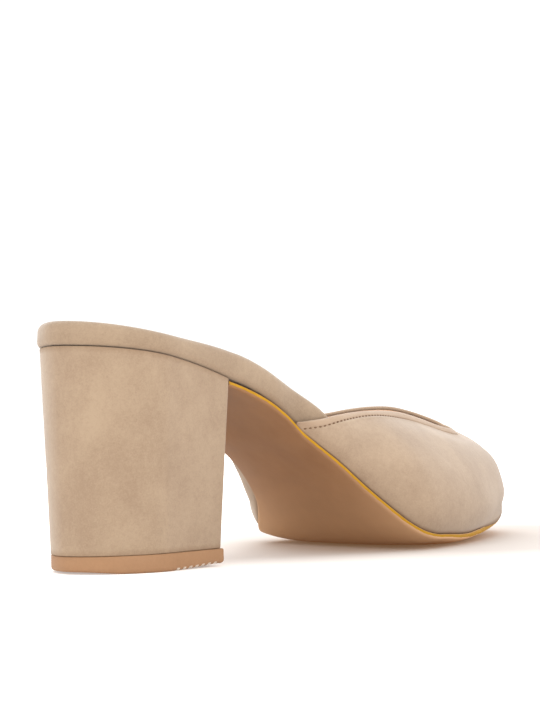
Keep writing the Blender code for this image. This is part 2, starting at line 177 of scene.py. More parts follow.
def movedOut(points, amount, sign):
    run = np.gradient(points, axis=0)
    run /= np.linalg.norm(run, axis=1)[:, None]
    out = np.stack((run[:, 1], -run[:, 0]), axis=1) * -sign
    out[0] = (-1.0, 0.0)
    out[-1] = (1.0, 0.0)
    return points + out * np.reshape(amount, (-1, 1)), out


def backArc(depth, width, roundness, steps):
    turn = quarterTurn(steps)
    return (depth * (1.0 - np.cos(turn) ** (2.0 / roundness)),
            0.5 * width * np.sin(turn) ** (2.0 / roundness))


def sideOutline(rows, toeRoundness, sign, steps=400):
    along, out = np.array(rows).T
    backX, backY = backArc(last["seatBackDepth"], last["seatWidth"], last["seatRoundness"], steps)
    places = np.concatenate(([last["seatBackDepth"]], along * last["soleLength"]))
    widths = np.concatenate(([0.5 * last["seatWidth"]], out * last["ballWidth"]))
    middleX = np.linspace(places[0], places[-1], steps)
    middleY = smoothCurve(middleX, places, widths, 0.0, 0.0)
    turn = quarterTurn(steps)
    toeX = places[-1] + (last["soleLength"] - places[-1]) * np.sin(turn) ** (2.0 / toeRoundness)
    toeY = widths[-1] * np.cos(turn) ** (2.0 / toeRoundness)
    x = np.concatenate((backX, middleX[1:], toeX[1:]))
    y = sign * np.concatenate((backY, middleY[1:], toeY[1:]))
    lean = (x - last["treadStart"]) / (last["soleLength"] - last["treadStart"])
    y = y + last["toeOffset"] * np.clip(lean, 0.0, 1.0) ** last["toeWidening"]
    return np.stack((x, y), axis=1)


def roundedToe(lateral, medial, step=0.5):
    line = acrossToe((lateral, medial))
    even = spaced(line, 0.0, 1.0, int(reachAlong(line)[-1] / step))
    reach = int(3.0 * last["toeSoftness"] / step)
    weight = np.exp(-0.5 * (np.arange(-reach, reach + 1) * step / last["toeSoftness"]) ** 2)
    weight /= weight.sum()
    soft = np.stack([np.convolve(column, weight, mode="same") for column in even.T], axis=1)
    share = ease(even[:, 0], last["treadStart"], last["treadEnd"])[:, None]
    share[:reach] = 0.0
    share[-reach:] = 0.0
    even = even * (1.0 - share) + soft * share
    tip = int(np.argmax(even[:, 0]))
    ahead = np.clip(even[:, 0] - last["treadEnd"], 0.0, None)
    even[:, 0] += ahead / ahead.max() * (last["soleLength"] - even[tip, 0])
    return even[:tip + 1], even[:tip - 1:-1]


lateralOutline, medialOutline = roundedToe(
    sideOutline(lateralSide, last["lateralToe"], -1.0),
    sideOutline(medialSide, last["medialToe"], 1.0))


def gridFaces(rows, width, closed):
    faces = []
    for row in range(rows - 1):
        for step in range(width if closed else width - 1):
            following = (step + 1) % width
            faces.append((row * width + step, row * width + following,
                          (row + 1) * width + following, (row + 1) * width + step))
    return faces


def tubeFaces(rows, width):
    # rings whose second half runs back under the first, closed at both ends
    faces = gridFaces(rows, width, True)
    for base in (0, (rows - 1) * width):
        faces += capFaces(base, width)
    return faces


def capFaces(base, width):
    return [(base + step, base + step + 1, base + width - 2 - step, base + width - 1 - step)
            for step in range(width // 2 - 1)]


def addObject(name, data):
    item = bpy.data.objects.new(name, data)
    scene.collection.objects.link(item)
    return item


def makePiece(name, points, faces, material, cadNode="", values=None, sharp=50.0):
    # values: {attribute name: one number a point}
    mesh = bpy.data.meshes.new(name)
    mesh.from_pydata((np.asarray(points) * mm + shoeOrigin).tolist(), [], faces)
    for key, numbers in (values or {}).items():
        attribute = mesh.attributes.new(key, "FLOAT", "POINT")
        attribute.data.foreach_set("value", np.asarray(numbers, float).ravel())
    mesh.materials.append(material)
    tidy = bmesh.new()
    tidy.from_mesh(mesh)
    bmesh.ops.remove_doubles(tidy, verts=tidy.verts, dist=0.004 * mm)
    bmesh.ops.dissolve_degenerate(tidy, edges=tidy.edges, dist=0.0004 * mm)
    bmesh.ops.recalc_face_normals(tidy, faces=tidy.faces)
    tidy.to_mesh(mesh)
    tidy.free()
    mesh.shade_smooth()
    mesh.set_sharp_from_angle(angle=math.radians(sharp))
    piece = addObject(name, mesh)
    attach(piece, "root")
    if cadNode:
        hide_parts(cadNode)
    return piece


# Node helpers and the nap that every suede shares
def addSocket(tree, name, way, kind, value=None):
    socket = tree.interface.new_socket(name, in_out=way, socket_type=kind)
    if value is not None:
        socket.default_value = value


def addNode(tree, kind, inputs=None, **settings):
    # inputs: {socket: a value, or the output that it is linked from}
    node = tree.nodes.new(kind)
    for key, value in settings.items():
        setattr(node, key, value)
    for key, value in (inputs or {}).items():
        if isinstance(value, bpy.types.NodeSocket):
            tree.links.new(value, node.inputs[key])
        else:
            node.inputs[key].default_value = value
    return node


def makeNoise(tree, vector, scale, detail, roughness=0.5, stretch=None):
    if stretch:
        mapping = addNode(tree, "ShaderNodeMapping", {"Scale": stretch, "Vector": vector})
        vector = mapping.outputs["Vector"]
    noise = addNode(tree, "ShaderNodeTexNoise", {
        "Scale": scale, "Detail": detail, "Roughness": roughness, "Vector": vector})
    return noise.outputs["Fac"]


def doMath(tree, operation, first, second, clamp=False):
    node = addNode(tree, "ShaderNodeMath", {0: first, 1: second},
                   operation=operation, use_clamp=clamp)
    return node.outputs[0]


def stretchRange(tree, value, low, high, newLow, newHigh):
    node = addNode(tree, "ShaderNodeMapRange", {
        "Value": value, "From Min": low, "From Max": high, "To Min": newLow, "To Max": newHigh})
    return node.outputs["Result"]


def mixColour(tree, factor, first, second):
    node = addNode(tree, "ShaderNodeMix", {"Factor": factor, "A": first, "B": second},
                   data_type="RGBA")
    return node.outputs["Result"]


def mixNoises(tree, first, second, share):
    both = doMath(tree, "ADD", doMath(tree, "MULTIPLY", first, share),
                  doMath(tree, "MULTIPLY", second, 1.0 - share))
    return stretchRange(tree, both, 0.3, 0.7, 0.0, 1.0)


def readValue(tree, name):
    return addNode(tree, "ShaderNodeAttribute", attribute_name=name).outputs["Fac"]


# scale, detail and roughness of each noise in the nap, and its strength in the tone
napNoises = {
    "patches": (38.0, 3.0, 0.55, 1.7), "clouds": (105.0, 3.0, 0.6, 0.8),
    "streaks": (150.0, 2.0, 0.5, 0.7), "grain": (620.0, 2.0, 0.6, 0.9),
    "fibres": (1900.0, 1.0, 0.6, 0.9),
}
napShares = {"streakLength": 0.32, "grainHeight": 0.6, "fibreHeight": 0.5}


def makeNapGroup():
    # suede: broad patches where the nap lies another way, brushed streaks and fine fibres
    tree = bpy.data.node_groups.new("suedeNap", "ShaderNodeTree")
    addSocket(tree, "Vector", "INPUT", "NodeSocketVector")
    for name in ("Patches", "Streaks", "Fibres"):
        addSocket(tree, name, "INPUT", "NodeSocketFloat", 1.0)
    for name in ("Tone", "Height"):
        addSocket(tree, name, "OUTPUT", "NodeSocketFloat")
    given = tree.nodes.new("NodeGroupInput").outputs
    noises = {}
    centred = {}
    for key, (scale, detail, roughness, strength) in napNoises.items():
        stretch = (1.0, 1.0, napShares["streakLength"]) if key == "streaks" else None
        noises[key] = makeNoise(tree, given["Vector"], scale, detail, roughness, stretch)
        centred[key] = doMath(tree, "MULTIPLY",
                              doMath(tree, "SUBTRACT", noises[key], 0.5), strength)
    broad = doMath(tree, "ADD", centred["patches"], centred["clouds"])
    broad = doMath(tree, "MULTIPLY", broad, given["Patches"])
    brushed = doMath(tree, "MULTIPLY", centred["streaks"], given["Streaks"])
    fine = doMath(tree, "ADD", centred["grain"], centred["fibres"])
    fine = doMath(tree, "MULTIPLY", fine, given["Fibres"])
    tone = doMath(tree, "ADD", doMath(tree, "ADD", broad, brushed), fine)
    height = doMath(tree, "ADD",
                    doMath(tree, "MULTIPLY", noises["grain"], napShares["grainHeight"]),
                    doMath(tree, "MULTIPLY", noises["fibres"], napShares["fibreHeight"]))
    addNode(tree, "NodeGroupOutput", {
        "Tone": doMath(tree, "ADD", tone, 0.5, clamp=True), "Height": height})
    return tree


napGroup = makeNapGroup()


def fromPhoto(red, green, blue):
    # an sRGB colour, 0 to 255, as scene-linear numbers
    return tuple(((c / 255.0 + 0.055) / 1.055) ** 2.4 if c > 10.3 else c / 255.0 / 12.92
                 for c in (red, green, blue)) + (1.0,)


def shaderInputs(tree):
    return tree.nodes["Principled BSDF"].inputs


def startMaterial(name, roughness, specular=0.3):
    material = bpy.data.materials.new(name)
    material.use_nodes = True
    tree = material.node_tree
    shaderInputs(tree)["Roughness"].default_value = roughness
    shaderInputs(tree)["Specular IOR Level"].default_value = specular
    return material, tree, tree.nodes.new("ShaderNodeTexCoord").outputs["Object"]


def finishMaterial(material, colour, height, strength, distance):
    # distance: the bump's full height in mm
    tree = material.node_tree
    bump = addNode(tree, "ShaderNodeBump", {
        "Strength": strength, "Distance": distance * mm, "Height": height})
    tree.links.new(colour, shaderInputs(tree)["Base Color"])
    tree.links.new(bump.outputs["Normal"], shaderInputs(tree)["Normal"])
    return material


def makeSuede(name, look):
    material, tree, place = startMaterial(name, 0.96, 0.12)
    nap = addNode(tree, "ShaderNodeGroup", {
        "Vector": place, "Patches": look["patches"], "Streaks": look["streaks"],
        "Fibres": look["fibres"]}, node_tree=napGroup)
    colour = mixColour(tree, nap.outputs["Tone"], look["dark"], look["light"])
    if "band" in look:
        # the folded topline band is a little paler and pinker than the rest
        inBand = doMath(tree, "MULTIPLY", readValue(tree, "inBand"), look["banded"])
        colour = mixColour(tree, inBand, colour, look["band"])
    # painted shade: darkened towards a shade colour where the mesh's shade mask says shade falls,
    # in gaps, grooves and under edges
    shadeMask = readValue(tree, look["shadedAt"])
    shadeAmount = stretchRange(tree, shadeMask, 0.0, 1.0, 0.0, look["shadeStrength"])
    colour = mixColour(tree, shadeAmount, colour, look["paintedShade"])
    # where shade is painted in, the sheen is taken away too
    sheen = stretchRange(tree, shadeMask, 0.0, 0.8, look["sheen"], 0.0)
    tree.links.new(sheen, shaderInputs(tree)["Sheen Weight"])
    shaderInputs(tree)["Sheen Roughness"].default_value = 0.5
    return finishMaterial(material, colour, nap.outputs["Height"], 0.55, 0.14)


# the darker colour and its strength are painted shade for gaps, grooves and undersides
suedeLook = {
    "dark": fromPhoto(141, 119, 98), "light": fromPhoto(157, 136, 113),
    "shadedAt": "edgeShade", "paintedShade": fromPhoto(108, 78, 54), "shadeStrength": 0.45,
    "patches": 1.0, "streaks": 1.0, "fibres": 1.0, "sheen": 0.35,
}
vampSuede = makeSuede("vampSuede", {
    **suedeLook, "patches": 1.1, "streaks": 0.5,
    "dark": fromPhoto(147, 125, 104), "light": fromPhoto(165, 143, 120),
    "band": fromPhoto(168, 143, 120), "banded": 0.6,
    "shadedAt": "seamShade", "paintedShade": fromPhoto(96, 66, 44), "shadeStrength": 0.7})
heelSuede = makeSuede("heelSuede", suedeLook)
footbedSuede = makeSuede("footbedSuede", {
    **suedeLook, "dark": fromPhoto(140, 119, 98), "streaks": 0.3,
    "paintedShade": fromPhoto(76, 46, 22), "shadeStrength": 0.8})

# a dark and a light tone for each smooth material, and what is laid over them
tones = {
    "resin": (fromPhoto(132, 95, 65), fromPhoto(147, 108, 76)),
    "paintedFloorLight": fromPhoto(228, 186, 144),
    "paint": (fromPhoto(160, 116, 18), fromPhoto(186, 138, 30)),
    "paintTip": fromPhoto(160, 112, 58), "tipStrength": 0.45,
    "rubber": (fromPhoto(140, 104, 73), fromPhoto(153, 115, 82)),
    "paleGrooveLight": fromPhoto(236, 226, 214), "grooveLightStrength": 0.85,
    "lining": (fromPhoto(236, 186, 142), fromPhoto(244, 198, 158)),
    # painted shade: the thread's own colour is close to the suede; it is made darker for the shade
    # in its needle holes and groove
    "thread": (fromPhoto(92, 68, 50), fromPhoto(118, 92, 70)),
}


def makeResin():
    # smooth brown sole: faint clouds, a satin coat, and paler towards the tread, painted light
    # from the white floor below
    material, tree, place = startMaterial("soleResin", 0.55, 0.15)
    clouds = makeNoise(tree, place, 42.0, 4.0, 0.6)
    streaks = makeNoise(tree, place, 160.0, 3.0, 0.55, stretch=(0.25, 1.0, 1.0))
    colour = mixColour(tree, mixNoises(tree, clouds, streaks, 0.65), *tones["resin"])
    colour = mixColour(tree, readValue(tree, "paintedFloorLight"), colour, tones["paintedFloorLight"])
    satin = stretchRange(tree, clouds, 0.3, 0.7, 0.50, 0.64)
    tree.links.new(satin, shaderInputs(tree)["Roughness"])
    shaderInputs(tree)["Coat Weight"].default_value = 0.02
    shaderInputs(tree)["Coat Roughness"].default_value = 0.4
    pores = makeNoise(tree, place, 700.0, 3.0, 0.6)
    return finishMaterial(material, colour, pores, 0.12, 0.08)


def makeEdgePaint():
    material, tree, place = startMaterial("edgePaint", 0.5, 0.15)
    colour = mixColour(tree, makeNoise(tree, place, 240.0, 3.0, 0.6), *tones["paint"])
    toTip = stretchRange(tree, readValue(tree, "toTip"), 0.0, 1.0, 0.0, tones["tipStrength"])
    colour = mixColour(tree, toTip, colour, tones["paintTip"])
    return finishMaterial(material, colour, makeNoise(tree, place, 900.0, 2.0), 0.15, 0.06)


def makeRubber():
    material, tree, place = startMaterial("tanRubber", 0.62, 0.35)
    clouds = makeNoise(tree, place, 60.0, 4.0, 0.6)
    fine = makeNoise(tree, place, 1100.0, 2.0, 0.6)
    colour = mixColour(tree, mixNoises(tree, clouds, fine, 0.7), *tones["rubber"])
    # painted light: the grooves of the tread are pale, standing in for the white floor seen
    # through them
    paleGrooveLight = doMath(tree, "MULTIPLY", readValue(tree, "inGroove"), tones["grooveLightStrength"])
    colour = mixColour(tree, paleGrooveLight, colour, tones["paleGrooveLight"])
    return finishMaterial(material, colour, fine, 0.25, 0.07)


def makeLining():
    material, tree, place = startMaterial("liningLeather", 0.55)
    colour = mixColour(tree, makeNoise(tree, place, 70.0, 4.0, 0.6), *tones["lining"])
    pores = addNode(tree, "ShaderNodeTexVoronoi", {"Scale": 900.0, "Vector": place})
    return finishMaterial(material, colour, pores.outputs["Distance"], 0.3, 0.08)


def makeThread():
    # painted shade: the thread is coloured dark
    material, tree, place = startMaterial("sewingThread", 0.8, 0.2)
    ply = makeNoise(tree, place, 2600.0, 2.0)
    return finishMaterial(material, mixColour(tree, ply, *tones["thread"]), ply, 0.4, 0.05)


soleResin = makeResin()
edgePaint = makeEdgePaint()
tanRubber = makeRubber()
liningLeather = makeLining()
sewingThread = makeThread()
print("materials made")

# Vamp. Each rib: share of the sole's edge it starts at, then where it ends on the topline
# (along, across, height), how far it leans out first and how far it drops off the topline.
lateralRibs = (
    (0.00, 0.3585, -0.328, 0.908, 0.00, 0.30), (0.06, 0.400, -0.346, 0.929, 0.10, 0.34),
    (0.13, 0.440, -0.340, 0.958, 0.14, 0.34), (0.21, 0.484, -0.309, 0.971, 0.16, 0.33),
    (0.30, 0.533, -0.282, 0.978, 0.18, 0.31), (0.40, 0.591, -0.242, 0.974, 0.20, 0.30),
    (0.50, 0.653, -0.196, 0.953, 0.22, 0.30), (0.60, 0.713, -0.158, 0.908, 0.24, 0.29),
    (0.70, 0.769, -0.127, 0.855, 0.26, 0.27), (0.80, 0.816, -0.099, 0.820, 0.27, 0.26),
    (0.90, 0.849, -0.050, 0.808, 0.27, 0.24), (1.00, 0.868, 0.050, 0.845, 0.27, 0.22),
)
medialRibs = (
    (0.00, 0.372, 0.226, 0.915, 0.42, 0.30), (0.06, 0.400, 0.246, 0.927, 0.58, 0.34),
    (0.13, 0.440, 0.268, 0.941, 0.62, 0.34), (0.21, 0.484, 0.286, 0.949, 0.42, 0.32),
    (0.30, 0.533, 0.292, 0.952, 0.19, 0.28), (0.40, 0.591, 0.279, 0.952, 0.30, 0.24),
    (0.50, 0.653, 0.263, 0.953, 0.22, 0.22), (0.60, 0.706, 0.243, 0.980, 0.23, 0.20),
    (0.70, 0.755, 0.220, 0.996, 0.24, 0.19), (0.80, 0.800, 0.191, 0.988, 0.26, 0.18),
    (0.90, 0.843, 0.145, 0.935, 0.28, 0.20), (1.00, 0.868, 0.050, 0.845, 0.27, 0.22),
)
vamp = {
    "sideSteps": 130, "rows": 56, "bandRows": 24, "bandReach": 5.8,
    "ribRise": 0.29, "ribShoulder": 0.90, "seatGap": 0.27,
    "foldRadius": 0.62, "cornerRadius": 0.22, "wall": 1.20, "bandPuff": 0.26,
    "grooveDepth": 0.42, "grooveWidth": 0.30, "tuckReach": 1.3, "tuckDepth": 0.35,
    "rimDepth": 0.85, "rimReach": 16.0, "toeLip": 1.5, "toeShave": 1.15,
    "foldLift": 0.35, "cornerLead": 1.3, "plainFrom": (0.36, 0.46),
    "cornerThin": 10.0, "cornerWall": 0.55, "pillow": 0.14, "shallower": 0.45,
    "liningStart": 0.75, "liningWall": 0.32, "liningRibs": 6, "liningLift": 0.4,
    "liningGap": 0.04, "keptBehind": 0.4, "liningBehind": 0.5, "cornerShade": 0.32,
}
# how far the stitch line lies under the fold, against the rib row (0, 1 toe, 2)
stitchRows = ((0.0, 2.5), (0.25, 2.7), (0.42, 3.2), (0.60, 4.0), (0.75, 4.0), (0.90, 3.3),
              (1.10, 2.8), (2.0, 2.6))
# soft troughs and ridges: along the rib row (0 lateral corner, 1 toe, 2 medial corner),
# share up from the sole, half-lengths of both, depth in mm
vampCreases = (
    (0.62, 0.30, 0.10, 0.10, -0.35), (0.80, 0.52, 0.12, 0.12, 0.30),
    (0.46, 0.60, 0.07, 0.16, -0.25), (0.92, 0.25, 0.08, 0.08, -0.30),
    (1.25, 0.45, 0.12, 0.14, 0.30), (1.45, 0.30, 0.09, 0.12, -0.35),
    (0.33, 0.45, 0.06, 0.20, 0.20), (1.70, 0.55, 0.08, 0.16, -0.25),
)


def vampSide(outline, rows, sign):
    table = np.array(rows)
    shares = np.linspace(0.0, 1.0, vamp["sideSteps"])
    lead = vamp["cornerLead"] if sign < 0.0 else 0.0
    feather = spaced(outline, shareAt(outline, last["upperStart"] - lead), 1.0, vamp["sideSteps"])
    out = movedOut(feather, 0.0, sign)[1]
    out[0] = (0.0, sign)
    along, across, height, swell, fall = [
        smoothCurve(shares, table[:, 0], table[:, column], None, 0.0 if column == 1 else None)
        for column in range(1, 6)]
    start = np.column_stack((feather, seatHeight(feather[:, 0]) + lineRelief(feather[:, 0])
                             - vamp["seatGap"]))
    end = np.stack((along * last["soleLength"], across * last["ballWidth"],
                    height * last["instepHeight"]), axis=1)
    tall = (end[:, 2] - start[:, 2])[:, None]
    first = start + np.column_stack((out, np.zeros(len(out)))) * swell[:, None] * tall
    first[:, 2:] += vamp["ribRise"] * tall
    second = end.copy()
    second[:, :2] += (start[:, :2] - end[:, :2]) * vamp["ribShoulder"]
    second[:, 2:] -= fall[:, None] * tall
    t = np.linspace(0.0, 1.0, 80)[None, :, None]
    return (start[:, None] * (1 - t)**3 + 3 * first[:, None] * t * (1 - t)**2
            + 3 * second[:, None] * t**2 * (1 - t) + end[:, None] * t**3)


def vampRibs():
    # rows counted from the topline down, close together in the folded band
    ribs = acrossToe((vampSide(lateralOutline, lateralRibs, -1.0),
                      vampSide(medialOutline, medialRibs, 1.0)))
    band = vamp["bandReach"]
    step = np.arange(vamp["rows"])
    below = (step - vamp["bandRows"]) / (step[-1] - vamp["bandRows"])
    grid = []
    down = []
    lengths = []
    for rib in ribs[:, ::-1]:
        reach = reachAlong(rib)
        length = reach[-1]
        wanted = np.where(below <= 0.0, band * step / vamp["bandRows"],
                          band + (length - band) * below)
        wanted = np.minimum(wanted, length * step / step[-1])
        grid.append(np.stack([np.interp(wanted, reach, column) for column in rib.T], axis=1))
        down.append(wanted)
        lengths.append(length)
    return np.array(grid), np.array(down), np.array(lengths)


def surfaceNormals(grid):
    normal = np.cross(np.gradient(grid, axis=1), np.gradient(grid, axis=0))
    return normal / np.linalg.norm(normal, axis=2)[:, :, None]


vampGrid, vampDown, ribLengths = vampRibs()
vampNormal = surfaceNormals(vampGrid)
middle = vampGrid[:, -1].mean(axis=0)
if np.mean(np.sum(vampNormal[:, -12, :2] * (vampGrid[:, -12, :2] - middle[:2]), axis=1)) < 0:
    vampNormal = -vampNormal
ribShare = np.linspace(0.0, 2.0, len(vampGrid))[:, None]
vampUp = ribLengths[:, None] - vampDown
upShare = 1.0 - vampDown / ribLengths[:, None]
stitchDown = np.interp(ribShare[:, 0], *np.array(stitchRows).T)[:, None]
inFront = ease(ribShare, *vamp["plainFrom"])
present = ease(ribLengths, 1.0, 8.0)[:, None]
thick = ease(ribLengths, 0.5, vamp["cornerThin"])[:, None]
vampWall = vamp["wall"] * between(vamp["cornerWall"], 1.0, thick)
foldRadius = between(vamp["cornerRadius"], vamp["foldRadius"], present)
foldBow = np.sqrt(foldRadius**2 - np.clip(foldRadius - vampDown, 0.0, foldRadius) ** 2)
pastFold = ease(vampDown, foldRadius * 1.1, foldRadius * 2.2)
vampLift = vamp["foldLift"] * foldRadius * vampNormal[:, :, 2] * (1.0 - ease(vampDown, 0.0, 7.0))
vampGrid[:, :, 2] += np.clip(vampLift, 0.0, None)


def vampRelief():
    puff = vamp["bandPuff"] * np.sin(math.pi * np.clip(vampDown / stitchDown, 0.0, 1.0))
    sewn = 1.0 - vamp["shallower"] * (1.0 - inFront)
    groove = -vamp["grooveDepth"] * sewn * hump(vampDown, stitchDown, vamp["grooveWidth"])
    pillow = vamp["pillow"] * hump(vampDown, stitchDown + 1.0, 0.7)
    tuck = -vamp["tuckDepth"] * np.clip(1.0 - vampUp / vamp["tuckReach"], 0.0, 1.0) ** 2
    atToe = ease(ribShare, 0.56, 0.72) * (1.0 - ease(ribShare, 1.25, 1.6))
    lip = vamp["toeLip"] * (1.0 - ease(vampUp, 0.0, 1.9))
    shave = vamp["toeShave"] * ease(vampUp, 0.6, 4.0) * (1.0 - ease(upShare, 0.28, 0.5))
    atFront = ease(ribShare, 0.28, 0.5) * (1.0 - ease(ribShare, 0.85, 1.05))
    rim = -vamp["rimDepth"] * atFront * ease(vampDown, 0.4, stitchDown + 0.4) * (
        1.0 - ease(vampDown, stitchDown, vamp["rimReach"]))
    soft = np.zeros_like(vampDown)
    for place, high, wide, tall, depth in vampCreases:
        soft += depth * hump(ribShare, place, wide) * hump(upShare, high, tall)
    whole = puff + groove + pillow + tuck + atToe * (lip - shave) + rim + soft
    return foldBow - foldRadius + whole * present


vampRise = vampRelief()
vampOuter = vampGrid + vampNormal * vampRise[:, :, None]


def makeVamp():
    turned = foldRadius + foldBow
    back = between(turned, vampWall, pastFold)
    # the inner face stays behind the outer one wherever that sinks
    back = np.maximum(back, vamp["keptBehind"] - vampRise)
    inner = vampGrid - vampNormal * back[:, :, None]
    inner[:, :, 2] = np.maximum(inner[:, :, 2], vampGrid[:, -1:, 2])
    rings = np.concatenate((vampOuter, inner[:, :0:-1]), axis=1)
    ribs, width = rings.shape[:2]
    faces = gridFaces(ribs, width, True)
    for base in (0, (ribs - 1) * width):
        faces.append((base, base + 1, base + width - 1))
        for step in range(1, vamp["rows"] - 1):
            faces.append((base + step, base + step + 1,
                          base + width - 1 - step, base + width - step))
    down = np.concatenate((vampDown, vampDown[:, :0:-1]), axis=1)
    up = ribLengths[:, None] - down
    # painted shade: darker in the rear corner, along the foot of the vamp next to the sole and in
    # the stitch groove
    corner = vamp["cornerShade"] * (1.0 - ease(up, 1.0, 8.0)) * (1.0 - ease(ribShare, 0.06, 0.3))
    seam = np.maximum(hump(down, stitchDown, 0.30) * (0.15 + 0.6 * inFront),
                      np.maximum(0.8 * hump(up, 0.0, 0.8), corner))
    inBand = 1.0 - ease(down, stitchDown - 0.4, stitchDown + 0.2)
    inBand[:, vamp["rows"]:] = 0.0
    makePiece("vamp", rings.reshape(-1, 3), faces, vampSuede, "upper",
              {"inBand": inBand, "seamShade": seam})


def makeVampLining():
    depth = between(2.0 * foldRadius, vampWall, pastFold) + vamp["liningGap"]
    depth = np.maximum(depth, vamp["liningBehind"] - vampRise)
    first = int(np.searchsorted(vampDown[len(vampDown) // 2], vamp["liningStart"]))
    kept = (slice(vamp["liningRibs"], -vamp["liningRibs"]), slice(first, None))
    grid = vampGrid[kept]
    sheets = []
    for extra in (0.0, vamp["liningWall"]):
        sheet = grid - vampNormal[kept] * (depth[kept][:, :, None] + extra)
        sheet[:, :, 2] = np.maximum(sheet[:, :, 2], grid[:, -1:, 2] + vamp["liningLift"])
        sheets.append(sheet)
    rings = np.concatenate((sheets[0], sheets[1][:, ::-1]), axis=1)
    makePiece("vamp_lining", rings.reshape(-1, 3), tubeFaces(*rings.shape[:2]), liningLeather,
              "upper")


makeVamp()
makeVampLining()
print("vamp and lining made")

# Topline stitches, placed by Geometry Nodes along the groove
stitches = {
    "pitch": 2.2, "length": 1.3, "width": 0.66, "height": 0.46, "wander": 0.12, "seed": 7,
    "sunkPast": 0.50, "sunkOver": 0.08, "sunk": 0.3, "raised": 0.08, "roomBelow": 1.2,
}


def stitchPath():
    points = []
    normals = []
    for index, line in enumerate(stitchDown[:, 0]):
        if ribLengths[index] < line + stitches["roomBelow"]:
            continue
        row = float(np.interp(line, vampDown[index], np.arange(vamp["rows"])))
        low = int(row)
        share = row - low
        # towards the toe the stitches sink until only the groove shows
        sunk = stitches["sunk"] * ease(ribShare[index, 0],
                                       stitches["sunkPast"] - stitches["sunkOver"],
                                       stitches["sunkPast"] + stitches["sunkOver"])
        points.append(vampOuter[index, low] * (1 - share) + vampOuter[index, low + 1] * share
                      + vampNormal[index, low] * (stitches["raised"] - sunk))
        normals.append(vampNormal[index, low])
    return np.array(points), np.array(normals)


def makeStitchTree():
    tree = bpy.data.node_groups.new("toplineStitches", "GeometryNodeTree")
    addSocket(tree, "Geometry", "INPUT", "NodeSocketGeometry")
    for name in ("Pitch", "Stitch Length", "Stitch Width", "Stitch Height", "Wander"):
        addSocket(tree, name, "INPUT", "NodeSocketFloat", 0.001)
    addSocket(tree, "Seed", "INPUT", "NodeSocketInt", stitches["seed"])
    addSocket(tree, "Thread", "INPUT", "NodeSocketMaterial")
    addSocket(tree, "Geometry", "OUTPUT", "NodeSocketGeometry")
    given = tree.nodes.new("NodeGroupInput").outputs

    def add(kind, output, inputs=None, **settings):
        return addNode(tree, kind, inputs, **settings).outputs[output]

    curve = add("GeometryNodeMeshToCurve", "Curve", {"Mesh": given["Geometry"]})
    points = add("GeometryNodeResampleCurve", "Curve", {
        "Curve": curve, "Length": given["Pitch"]}, mode="LENGTH")
    ball = add("GeometryNodeMeshUVSphere", "Mesh", {"Segments": 8, "Rings": 6, "Radius": 0.5})
    size = add("ShaderNodeCombineXYZ", "Vector", {
        "X": given["Stitch Length"], "Y": given["Stitch Width"], "Z": given["Stitch Height"]})
    stitch = add("GeometryNodeTransform", "Geometry", {"Geometry": ball, "Scale": size})
    # each stitch lies along the line, upright on the leather and turned a little by chance
    tangent = add("GeometryNodeInputTangent", "Tangent")
    outward = add("GeometryNodeInputNamedAttribute", "Attribute", {"Name": "outward"},
                  data_type="FLOAT_VECTOR")
    lying = add("FunctionNodeAlignRotationToVector", "Rotation", {"Vector": tangent}, axis="X")
    upright = add("FunctionNodeAlignRotationToVector", "Rotation", {
        "Rotation": lying, "Vector": outward}, axis="Z", pivot_axis="X")
    least = doMath(tree, "MULTIPLY", given["Wander"], -1.0)
    angle = add("FunctionNodeRandomValue", 1, {
        2: least, 3: given["Wander"], "Seed": given["Seed"]}, data_type="FLOAT")
    spin = add("FunctionNodeAxisAngleToRotation", "Rotation", {
        "Axis": (0.0, 0.0, 1.0), "Angle": angle})
    turned = add("FunctionNodeRotateRotation", "Rotation", {
        "Rotation": upright, "Rotate By": spin}, rotation_space="LOCAL")
    placed = add("GeometryNodeInstanceOnPoints", "Instances", {
        "Points": points, "Instance": stitch, "Rotation": turned})
    real = add("GeometryNodeRealizeInstances", "Geometry", {"Geometry": placed})
    sewn = add("GeometryNodeSetMaterial", "Geometry", {
        "Geometry": real, "Material": given["Thread"]})
    addNode(tree, "NodeGroupOutput", {"Geometry": sewn})
    return tree


def bakeTree(tree, mesh, name, settings):
    # runs the tree on the mesh and keeps the result as a plain mesh
    carrier = addObject(name + "Carrier", mesh)
    modifier = carrier.modifiers.new("nodes", "NODES")
    modifier.node_group = tree
    for item in tree.interface.items_tree:
        if item.item_type == "SOCKET" and item.in_out == "INPUT" and item.name in settings:
            modifier[item.identifier] = settings[item.name]
    depsgraph = bpy.context.evaluated_depsgraph_get()
    baked = bpy.data.meshes.new_from_object(carrier.evaluated_get(depsgraph))
    carrier.modifiers.remove(modifier)
    bpy.data.objects.remove(carrier)
    baked.name = name
    return addObject(name, baked)


def makeStitches():
    points, normals = stitchPath()
    mesh = bpy.data.meshes.new("stitchPath")
    mesh.from_pydata((points * mm + shoeOrigin).tolist(),
                     [(i, i + 1) for i in range(len(points) - 1)], [])
    outward = mesh.attributes.new("outward", "FLOAT_VECTOR", "POINT")
    outward.data.foreach_set("vector", normals.ravel())
    piece = bakeTree(makeStitchTree(), mesh, "topline_stitches", {
        "Pitch": stitches["pitch"] * mm, "Stitch Length": stitches["length"] * mm,
        "Stitch Width": stitches["width"] * mm, "Stitch Height": stitches["height"] * mm,
        "Wander": stitches["wander"], "Seed": stitches["seed"], "Thread": sewingThread})
    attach(piece, "root")
    return piece


stitchPiece = makeStitches()
print("stitches made:", len(stitchPiece.data.polygons), "faces")

